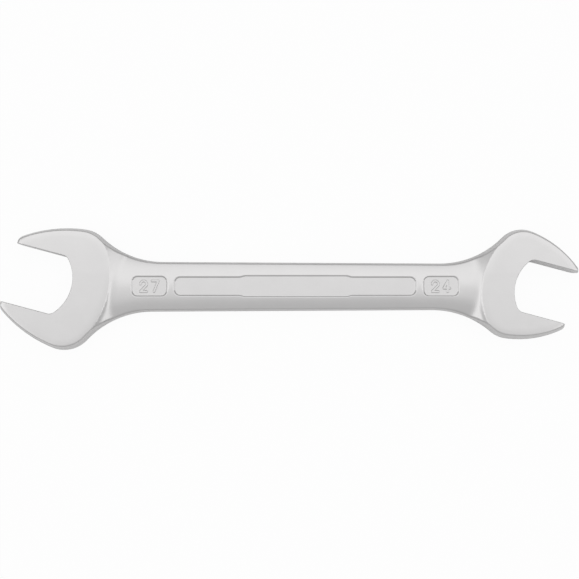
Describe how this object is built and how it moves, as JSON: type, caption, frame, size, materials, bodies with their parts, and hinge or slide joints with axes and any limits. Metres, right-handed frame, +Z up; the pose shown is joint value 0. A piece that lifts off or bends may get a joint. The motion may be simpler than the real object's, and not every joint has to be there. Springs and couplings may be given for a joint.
{
  "type": "open end wrench",
  "caption": "Flat forged wrench with an open, angled jaw at each end, 27 mm and 24 mm across, and a slim shank with recessed panels; it turns hexagon nuts and bolts.",
  "frame": {"origin": "centre of the overall box in X and Y, on the plane that the undersides of both heads lie on", "axes": "+X along the shank from the 27 mm head to the 24 mm head, +Y across the shank, +Z up through the thickness, out of the face that the picture shows"},
  "size_m": [0.2626, 0.0553, 0.0105],
  "materials": {
    "satin_chrome": "forged alloy steel with satin nickel and chrome plate, faces of the heads ground"
  },
  "bodies": {
    "root": {"wrench_body": "satin_chrome"}
  },
  "joints": []
}
